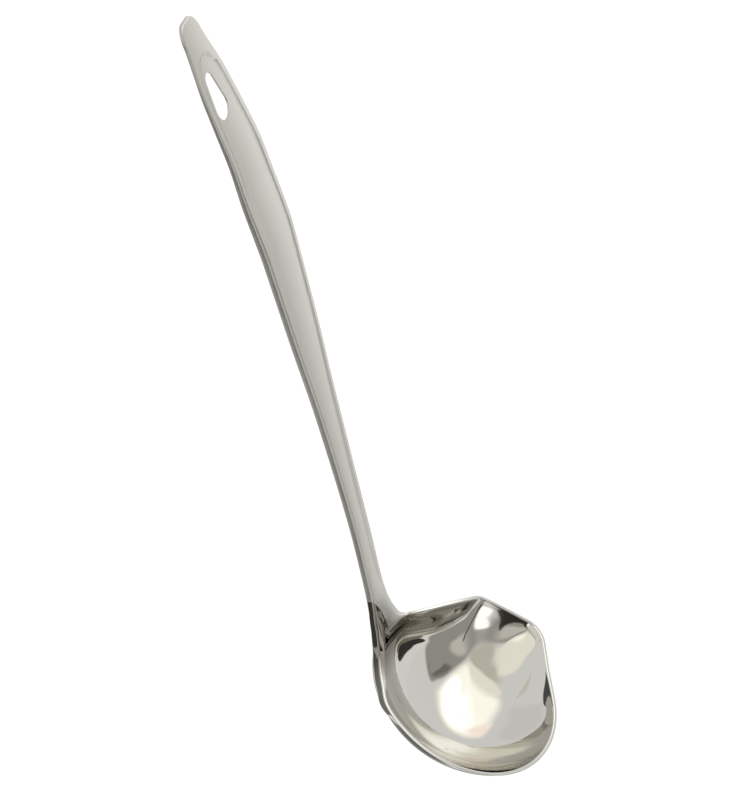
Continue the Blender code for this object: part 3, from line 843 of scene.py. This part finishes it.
def mark_face(data):
    """Writes on each point of the face how far it lies inside the fold, and how near the middle."""
    points = np.empty(3 * len(data.vertices))
    data.vertices.foreach_get("co", points)
    across, back, up = (points.reshape(-1, 3) - NECK).T
    half = half_width(up)
    on_face = (up > FACE_START) & (np.abs(back - setback(up)) < 0.02 * MM)
    radius = float(half_width(HANDLE_LENGTH - DISH_ARCH_DOWN)) - DISH_EDGE
    middle = HANDLE_LENGTH - DISH_ARCH_DOWN - radius
    inside = half - np.abs(across) - DISH_EDGE
    arch = radius - np.hypot(across, np.maximum(0.0, up - middle))
    inside = np.where(up > middle, np.minimum(inside, arch), inside)
    marks = {
        "inside": np.where(on_face, inside, -1.0),
        "middle": np.clip(1 - (across / half) ** 2, 0.0, 1.0),
        "start": past(up, FACE_START, DISH_START_LENGTH),
    }
    for name, values in marks.items():
        data.attributes.new(name, "FLOAT", "POINT").data.foreach_set("value", values)


def sunk_face_tree():
    """Node tree that sinks the handle's face between its rolled edges, up to the arch."""
    tree = bpy.data.node_groups.new("sunk_face", "GeometryNodeTree")
    kinds = {"Geometry": "Geometry", "Sunk depth": "Float", "Crown": "Float", "Ramp": "Float"}
    for name, kind in {**kinds, "Finish": "Material"}.items():
        tree.interface.new_socket(name, in_out="INPUT", socket_type=f"NodeSocket{kind}")
    tree.interface.new_socket("Geometry", in_out="OUTPUT", socket_type="NodeSocketGeometry")
    given = node(tree, "NodeGroupInput", {}).node.outputs
    inside, middle, start = (
        node(tree, "GeometryNodeInputNamedAttribute", {"Name": name}, data_type="FLOAT")
        for name in FACE_MARKS
    )
    # From nothing at the fold to the full depth one ramp further in, and deeper in the middle
    sides = {"Value": inside, "From Max": given["Ramp"]}
    ramp = node(tree, RANGE, sides, interpolation_type="SMOOTHSTEP")
    sunk = node(tree, MATH, {0: middle, 1: given["Crown"]}, operation="MULTIPLY")
    sunk = node(tree, MATH, {0: given["Sunk depth"], 1: sunk}, operation="ADD")
    sunk = node(tree, MATH, {0: sunk, 1: ramp}, operation="MULTIPLY")
    sunk = node(tree, MATH, {0: sunk, 1: start}, operation="MULTIPLY")
    offset = node(tree, "ShaderNodeCombineXYZ", {"Y": sunk})
    made = {"Geometry": given["Geometry"], "Offset": offset}
    made = {"Geometry": node(tree, "GeometryNodeSetPosition", made)}
    made = {"Geometry": node(tree, "GeometryNodeRealizeInstances", made)}
    made["Material"] = given["Finish"]
    node(tree, "NodeGroupOutput", {"Geometry": node(tree, "GeometryNodeSetMaterial", made)})
    return tree


def sink_face(data, sizes, finish):
    """A copy of the skin with its face sunk by the node tree."""
    mark_face(data)
    blank = bpy.data.objects.new("blank", data)
    bpy.context.scene.collection.objects.link(blank)
    modifier = blank.modifiers.new("Sunk face", "NODES")
    modifier.node_group = sunk_face_tree()
    values = {
        "Sunk depth": sizes.face_sink,
        "Crown": sizes.face_crown,
        "Ramp": DISH_RAMP,
        "Finish": finish,
    }
    for item in modifier.node_group.interface.items_tree:
        if item.name in values:
            modifier[item.identifier] = values[item.name]
    graph = bpy.context.evaluated_depsgraph_get()
    result = bpy.data.meshes.new_from_object(blank.evaluated_get(graph))
    bpy.data.objects.remove(blank)
    for name in FACE_MARKS:
        result.attributes.remove(result.attributes[name])
    return result


def prism(name, outline, rake):
    """A cutter through the handle from an (across, up) outline. It rises by rake on its way back."""
    curve = bpy.data.curves.new(name, "CURVE")
    curve.dimensions = "2D"
    curve.fill_mode = "BOTH"
    curve.extrude = REACH
    spline = curve.splines.new("POLY")
    spline.points.add(len(outline) - 1)
    for point, (across, up) in zip(spline.points, outline):
        point.co = (across, up, 0.0, 1.0)
    spline.use_cyclic_u = True
    drawn = bpy.data.objects.new(name, curve)
    data = bpy.data.meshes.new_from_object(drawn)
    bpy.data.objects.remove(drawn)
    mesh = bmesh.new()
    mesh.from_mesh(data)
    bmesh.ops.remove_doubles(mesh, verts=mesh.verts, dist=0.01 * MM)
    upright = Matrix(((1, 0, 0, 0), (0, 0, -1, 0), (0, 1, -rake, 0), (0, 0, 0, 1)))
    place = Matrix.Translation(Vector(NECK)) @ upright
    bmesh.ops.transform(mesh, matrix=place, verts=mesh.verts)
    bmesh.ops.recalc_face_normals(mesh, faces=mesh.faces)
    mesh.to_mesh(data)
    mesh.free()
    return bpy.data.objects.new(name, data)


def hanging_hole():
    """An egg-shaped hole, wide end down: two arcs and the straight lines that touch both."""
    high = HOLE_UP - HOLE_TOP_RADIUS
    low = HOLE_UP - HOLE_LENGTH + HOLE_LOW_RADIUS
    lean = math.asin((HOLE_LOW_RADIUS - HOLE_TOP_RADIUS) / (high - low))
    outline = []
    for middle, radius, start, turn in (
        (high, HOLE_TOP_RADIUS, lean, math.pi - 2 * lean),
        (low, HOLE_LOW_RADIUS, math.pi - lean, math.pi + 2 * lean),
    ):
        for k in range(21):
            angle = start + turn * k / 20
            outline.append((radius * math.cos(angle) - HOLE_SIDE, middle + radius * math.sin(angle)))
    return prism("hole_cutter", outline, 0.0)


def handle_side(grow):
    """The side of the forked seam that the handle lies on, moved out from the seam by grow."""
    top = HANDLE_LENGTH + REACH
    shoulder = SEAM_UP - grow
    end = -SEAM_SINK - grow
    half = [(SEAM_END_HALF_WIDTH + grow, end), (SEAM_HALF_WIDTH + grow, shoulder)]
    half += [(REACH, shoulder), (REACH, top)]
    outline = half + [(-across, up) for across, up in reversed(half)]
    return prism("seam_cutter", outline, SEAM_RAKE)


def cut(data, cuts, bevel=0.0):
    """A copy of the mesh after its cuts, each a cutter and an operation."""
    blank = bpy.data.objects.new("blank", data)
    bpy.context.scene.collection.objects.link(blank)
    for tool, operation in cuts:
        bpy.context.scene.collection.objects.link(tool)
        modifier = blank.modifiers.new(operation.title(), "BOOLEAN")
        modifier.operation = operation
        modifier.object = tool
    if bevel:
        modifier = blank.modifiers.new("Rounded hole", "BEVEL")
        modifier.width = bevel
        modifier.segments = 3
        modifier.angle_limit = math.radians(60)
    graph = bpy.context.evaluated_depsgraph_get()
    result = bpy.data.meshes.new_from_object(blank.evaluated_get(graph))
    bpy.data.objects.remove(blank)
    for tool, _ in cuts:
        bpy.data.objects.remove(tool)
    return result


def ladle_skin(context, finish):
    """The whole ladle as one closed mesh, made once and shared by the three pieces."""
    if "ladle_skin" not in bpy.data.meshes:
        sizes = context.scene.ladle_sizes
        whole = mesh_from_grids("whole_skin", Skin(sizes).grids())
        whole = sink_face(whole, sizes, finish)
        holed = cut(whole, [(hanging_hole(), "DIFFERENCE")], sizes.hole_rounding)
        holed.name = "ladle_skin"
    return bpy.data.meshes["ladle_skin"]


def add_piece(context, name, node, finish, cuts):
    """One piece of the ladle, cut from the whole skin, in place of its CAD node."""
    finish = steel(finish, context.scene.ladle_colours)
    data = cut(ladle_skin(context, finish), cuts)
    data.name = name
    data.materials.clear()
    data.materials.append(finish)
    data.shade_smooth()
    data.set_sharp_from_angle(angle=math.radians(60))
    obj = bpy.data.objects.new(name, data)
    context.scene.collection.objects.link(obj)
    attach(obj, "root")
    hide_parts(node)
    return obj


def linear(hex_colour):
    """A Blender colour from sRGB hex digits."""
    values = [int(hex_colour[k : k + 2], 16) / 255 for k in (0, 2, 4)]
    return [v / 12.92 if v <= 0.04045 else ((v + 0.055) / 1.055) ** 2.4 for v in values] + [1.0]


def node(tree, kind, inputs, output=0, **options):
    """Adds a node with its options, and returns one of its outputs.

    Each input, by name or number, gets a value or is linked to another node's output.
    """
    made = tree.nodes.new(kind)
    for key, value in options.items():
        setattr(made, key, value)
    for key, value in inputs.items():
        if isinstance(value, bpy.types.NodeSocket):
            tree.links.new(value, made.inputs[key])
        else:
            made.inputs[key].default_value = value
    return made.outputs[output] if made.outputs else None


def satin_share(tree, place):
    """1 on the satin steel and 0 on the polished: the line between them is a V over the neck."""
    inside = []
    for across, up, start in ARMS:
        lean = {0: place, 1: (across, 0.0, up)}
        along = node(tree, "ShaderNodeVectorMath", lean, "Value", operation="DOT_PRODUCT")
        start += float(across * NECK[0] + up * NECK[2])
        inside.append(node(tree, MATH, {0: along, 1: start}, operation="SUBTRACT"))
    left = {0: inside[0], 1: inside[1], 2: ARM_BEND}
    left = node(tree, MATH, left, operation="SMOOTH_MAX")
    both = node(tree, MATH, {0: left, 1: inside[2]}, operation="MINIMUM")
    # The masking before the polish leaves the line a little uneven
    grain = {"Scale": JITTER_PER_MM / MM, "Detail": 2.0, "Vector": place}
    grain = node(tree, "ShaderNodeTexNoise", grain, "Fac")
    grain = node(tree, MATH, {0: grain, 1: 0.5}, operation="SUBTRACT")
    grain = node(tree, MATH, {0: grain, 1: FINISH_JITTER}, operation="MULTIPLY")
    both = node(tree, MATH, {0: both, 1: grain}, operation="ADD")
    edge = {"From Min": -FINISH_EDGE, "From Max": FINISH_EDGE, "Value": both}
    return node(tree, RANGE, edge, interpolation_type="SMOOTHSTEP")


def steel_colour(tree, place, satin, colours):
    """The steel's colour, with painted shade: the polish is painted darker on the neck, and the satin
    along one side.
    """
    x = node(tree, "ShaderNodeSeparateXYZ", {"Vector": place}, "X")
    across = node(tree, MATH, {0: x, 1: float(NECK[0])}, operation="SUBTRACT")
    behind = {0: place, 1: tuple(-TO_FRONT)}
    behind = node(tree, "ShaderNodeVectorMath", behind, "Value", operation="DOT_PRODUCT")
    centre = {0: behind, 1: float(-TO_FRONT @ RIM_CENTRE)}
    behind = node(tree, MATH, centre, operation="SUBTRACT")
    aside = node(tree, MATH, {0: across}, operation="ABSOLUTE")
    # Painted shade: the polish is painted darker on the neck, behind the rim's centre and near the
    # middle, standing in for a dark reflection
    shares = []
    for value, (start, end) in ((behind, NECK_SHADE_BEHIND), (aside, NECK_SHADE_ACROSS)):
        ends = {"From Min": start, "From Max": end, "Value": value}
        shares.append(node(tree, RANGE, ends, interpolation_type="SMOOTHSTEP"))
    neck = node(tree, MATH, {0: shares[0], 1: shares[1]}, operation="MULTIPLY")
    # Painted shade on the satin: darker towards one side of the handle's face, fading out across it
    satin_shade = {"From Min": SATIN_SHADE_SPAN[0], "From Max": SATIN_SHADE_SPAN[1], "Value": across}
    satin_shade = node(tree, RANGE, satin_shade)
    polished = {0: neck, 6: colours.polished, 7: colours.neck_painted_shade}
    polished = node(tree, MIX, polished, 2, data_type="RGBA")
    brushed = {0: satin_shade, 6: colours.satin_painted_shade, 7: colours.satin}
    brushed = node(tree, MIX, brushed, 2, data_type="RGBA")
    return node(tree, MIX, {0: satin, 6: polished, 7: brushed}, 2, data_type="RGBA")


def steel(name, colours):
    """Stainless steel: mirror polish below the line on the neck, and brushed satin above it.

    The polish gives the eye clear pictures of the room, bent by the bowl. The satin gives it a
    broad soft sheen, with fine streaks that run along the handle.
    """
    material = bpy.data.materials.new(name)
    material.use_nodes = True
    tree = material.node_tree
    shader = tree.nodes["Principled BSDF"].inputs
    shader["Metallic"].default_value = 1.0
    place = node(tree, "ShaderNodeTexCoord", {}, "Object")
    satin = satin_share(tree, place)
    tree.links.new(steel_colour(tree, place, satin, colours), shader["Base Color"])

    # Brush marks: fine streaks along the handle, in the shine and in the height
    streaks = {"Scale": [count / MM for count in STREAKS_PER_MM], "Vector": place}
    streaks = {"Scale": 1.0, "Detail": 3.0, "Vector": node(tree, "ShaderNodeMapping", streaks)}
    streaks = node(tree, "ShaderNodeTexNoise", streaks, "Fac")
    brushed = {"From Min": 0.3, "From Max": 0.7, "Value": streaks}
    brushed.update({"To Min": SATIN_ROUGHNESS[0], "To Max": SATIN_ROUGHNESS[1]})
    rough = {0: satin, 2: POLISHED_ROUGHNESS, 3: node(tree, RANGE, brushed)}
    tree.links.new(node(tree, MIX, rough, data_type="FLOAT"), shader["Roughness"])
    strength = node(tree, MATH, {0: satin, 1: STREAK_STRENGTH}, operation="MULTIPLY")
    relief = {"Distance": STREAK_HEIGHT, "Strength": strength, "Height": streaks}
    tree.links.new(node(tree, "ShaderNodeBump", relief), shader["Normal"])
    return material


class LadleSizes(bpy.types.PropertyGroup):
    """Sizes of the ladle"""

    bowl_radius: bpy.props.FloatProperty(
        name="Bowl radius", description="Inside radius of the round bowl at its rim",
        default=36.0 * MM, min=20.0 * MM, unit="LENGTH")
    bowl_depth: bpy.props.FloatProperty(
        name="Bowl depth", description="Depth of the bowl below its rim, inside",
        default=21.0 * MM, min=10.0 * MM, unit="LENGTH")
    lip_lift: bpy.props.FloatProperty(
        name="Lip lift", description="How far the pouring lip rises above the rim",
        default=2.7 * MM, min=0.0, unit="LENGTH")
    face_sink: bpy.props.FloatProperty(
        name="Face sink", description="How deep the handle's face is sunk beside its edges",
        default=0.3 * MM, min=0.0, unit="LENGTH")
    face_crown: bpy.props.FloatProperty(
        name="Face crown", description="How much deeper the middle of the face is sunk",
        default=0.35 * MM, min=0.0, unit="LENGTH")
    hole_rounding: bpy.props.FloatProperty(
        name="Hole rounding", description="How widely the hanging hole's edges are rounded",
        default=0.25 * MM, min=0.0, unit="LENGTH")


class LadleColours(bpy.types.PropertyGroup):
    """Colours of the ladle's finishes, of its painted shade and of the floor"""

    polished: bpy.props.FloatVectorProperty(
        name="Polished steel", description="Colour of the mirror-polished bowl",
        default=linear("C6C4BE"), subtype="COLOR", size=4)
    # Painted shade: the polish on the neck is painted darker, standing in for a dark reflection
    neck_painted_shade: bpy.props.FloatVectorProperty(
        name="Polished neck", description="Colour of the polish on the neck",
        default=linear("8C8880"), subtype="COLOR", size=4)
    satin: bpy.props.FloatVectorProperty(
        name="Satin steel", description="Colour of the brushed handle",
        default=linear("CFCDC8"), subtype="COLOR", size=4)
    # Painted shade: the satin along one side of the handle's face is painted darker
    satin_painted_shade: bpy.props.FloatVectorProperty(
        name="Dense satin", description="Colour along the side that is brushed more densely",
        default=linear("B3B1AB"), subtype="COLOR", size=4)
    floor: bpy.props.FloatVectorProperty(
        name="Floor", description="Colour of the floor's matt paint",
        default=linear("F2F2F0"), subtype="COLOR", size=4)


class LADLE_OT_bowl(bpy.types.Operator):
    """Add the polished bowl"""

    bl_idname = "ladle.bowl"
    bl_label = "Bowl"

    def execute(self, context):
        cuts = [(handle_side(SEAM_WIDTH / 2), "DIFFERENCE")]
        finish = "mirror_polished_stainless"
        add_piece(context, "pressed_bowl", "bowl", finish, cuts)
        return {"FINISHED"}


class LADLE_OT_handle(bpy.types.Operator):
    """Add the satin handle"""

    bl_idname = "ladle.handle"
    bl_label = "Handle"

    def execute(self, context):
        cuts = [(handle_side(-SEAM_WIDTH / 2), "INTERSECT")]
        finish = "satin_brushed_stainless"
        add_piece(context, "pressed_handle", "handle", finish, cuts)
        return {"FINISHED"}


class LADLE_OT_weld(bpy.types.Operator):
    """Add the weld between bowl and handle, ground flush"""

    bl_idname = "ladle.weld"
    bl_label = "Neck weld"

    def execute(self, context):
        grow = SEAM_WIDTH / 2
        cuts = [(handle_side(grow), "INTERSECT"), (handle_side(-grow), "DIFFERENCE")]
        finish = "ground_and_buffed_weld"
        add_piece(context, "ground_neck_weld", "neck_weld", finish, cuts)
        return {"FINISHED"}


def direction(azimuth, elevation):
    """From the object towards this azimuth and elevation. Azimuth 0 is at the handle's face."""
    a, e = math.radians(azimuth), math.radians(elevation)
    return Vector((math.sin(a) * math.cos(e), -math.cos(a) * math.cos(e), math.sin(e)))


def card_light(name, radiance):
    """Even light from a card, which fades out towards the card's edge."""
    material = bpy.data.materials.new(name)
    material.use_nodes = True
    tree = material.node_tree
    tree.nodes.clear()
    part = node(tree, "ShaderNodeAttribute", {}, "Fac", attribute_name="share")
    soft = node(tree, RANGE, {"Value": part}, interpolation_type="SMOOTHSTEP")
    light = node(tree, "ShaderNodeEmission", {"Color": (*radiance, 1.0)})
    clear = node(tree, "ShaderNodeBsdfTransparent", {})
    mixed = node(tree, "ShaderNodeMixShader", {0: soft, 1: clear, 2: light})
    node(tree, "ShaderNodeOutputMaterial", {"Surface": mixed})
    return material


def add_card(scene, name, distance, radiance, softness, outline):
    """A card of light or shade round the bowl that only the steel sees. Its edge is soft."""
    rim = [direction(azimuth, elevation) for azimuth, elevation in outline]
    for _ in range(CARD_ROUNDS):
        pairs = list(zip(rim, rim[1:] + rim[:1]))
        shares = (CARD_CORNER, 1 - CARD_CORNER)
        rim = [p.lerp(after, share).normalized() for p, after in pairs for share in shares]
    towards = sum(rim, Vector()).normalized()
    inner = [p.slerp(towards, min(1.0, math.radians(softness) / p.angle(towards))) for p in rim]
    count = len(rim)
    faces = [(k, (k + 1) % count, count + (k + 1) % count, count + k) for k in range(count)]
    faces += [(count + k, count + (k + 1) % count, 2 * count) for k in range(count)]
    mesh = bpy.data.meshes.new(name)
    mesh.from_pydata([distance * p for p in rim + inner + [towards]], [], faces)
    share = mesh.attributes.new("share", "FLOAT", "POINT")
    share.data.foreach_set("value", [0.0] * count + [1.0] * (count + 1))
    card = bpy.data.objects.new(name, mesh)
    card.location = Vector(RIM_CENTRE)
    scene.collection.objects.link(card)
    card.visible_camera = False
    card.visible_diffuse = False
    card.visible_shadow = False
    mesh.materials.append(card_light(name, radiance))


def add_camera(scene):
    """The camera at the photograph's viewing angle."""
    camera = bpy.data.objects.new("camera", bpy.data.cameras.new("camera"))
    scene.collection.objects.link(camera)
    camera.data.lens = CAMERA_LENS
    camera.data.sensor_width = CAMERA_SENSOR
    camera.data.clip_end = FLOOR_HALF
    axes = Vector(CAMERA_RIGHT), -Vector(CAMERA_DOWN), -Vector(CAMERA_LOOK)
    turned = Matrix(axes).transposed()
    camera.matrix_world = Matrix.Translation(CAMERA_PLACE) @ turned.to_4x4()
    scene.camera = camera


def add_floor(scene, colour):
    """A plain pale floor in matt paint, which gives the eye an even white."""
    z = cad_box[0][2] - FLOOR_DROP
    corners = [(x * FLOOR_HALF, y * FLOOR_HALF, z) for x, y in ((-1, -1), (1, -1), (1, 1), (-1, 1))]
    mesh = bpy.data.meshes.new("floor")
    mesh.from_pydata(corners, [], [(0, 1, 2, 3)])
    paint = bpy.data.materials.new("pale_matt_floor_paint")
    paint.use_nodes = True
    shader = paint.node_tree.nodes["Principled BSDF"]
    shader.inputs["Base Color"].default_value = colour
    shader.inputs["Roughness"].default_value = 0.9
    shader.inputs["Emission Color"].default_value = (1.0, 1.0, 1.0, 1.0)
    shader.inputs["Emission Strength"].default_value = FLOOR_GLOW
    mesh.materials.append(paint)
    floor = bpy.data.objects.new("floor", mesh)
    scene.collection.objects.link(floor)


class LADLE_OT_stage(bpy.types.Operator):
    """Add the camera, the floor and the soft light"""

    bl_idname = "ladle.stage"
    bl_label = "Stage"

    def execute(self, context):
        scene = context.scene
        add_camera(scene)
        scene.view_settings.view_transform = "Standard"
        world = bpy.data.worlds.new("studio")
        world.use_nodes = True
        background = world.node_tree.nodes["Background"]
        background.inputs["Color"].default_value = (1.0, 1.0, 1.0, 1.0)
        scene.world = world
        for name, settings in CARDS.items():
            add_card(scene, name, *settings)
        add_floor(scene, scene.ladle_colours.floor)
        return {"FINISHED"}


class LADLE_PT_panel(bpy.types.Panel):
    """Lists the ladle's sizes, colours and pieces"""

    bl_label = "Sauce ladle"
    bl_idname = "LADLE_PT_panel"
    bl_space_type = "VIEW_3D"
    bl_region_type = "UI"
    bl_category = "Ladle"

    def draw(self, context):
        for group in (context.scene.ladle_sizes, context.scene.ladle_colours):
            for name in group.__annotations__:
                self.layout.prop(group, name)
        for name in OPERATORS:
            self.layout.operator(name)


CLASSES = (
    LadleSizes,
    LadleColours,
    LADLE_OT_bowl,
    LADLE_OT_handle,
    LADLE_OT_weld,
    LADLE_OT_stage,
    LADLE_PT_panel,
)
OPERATORS = ("ladle.bowl", "ladle.handle", "ladle.weld", "ladle.stage")


def register():
    """Makes the sizes, the colours, the operators and the panel known to Blender."""
    for made in CLASSES:
        bpy.utils.register_class(made)
    bpy.types.Scene.ladle_sizes = bpy.props.PointerProperty(type=LadleSizes)
    bpy.types.Scene.ladle_colours = bpy.props.PointerProperty(type=LadleColours)


def unregister():
    """Takes back what register made known."""
    del bpy.types.Scene.ladle_colours
    del bpy.types.Scene.ladle_sizes
    for made in reversed(CLASSES):
        bpy.utils.unregister_class(made)


def main():
    """Builds the whole ladle."""
    register()
    bpy.ops.ladle.bowl()
    bpy.ops.ladle.handle()
    bpy.ops.ladle.weld()
    bpy.ops.ladle.stage()


if __name__ == "__main__":
    main()
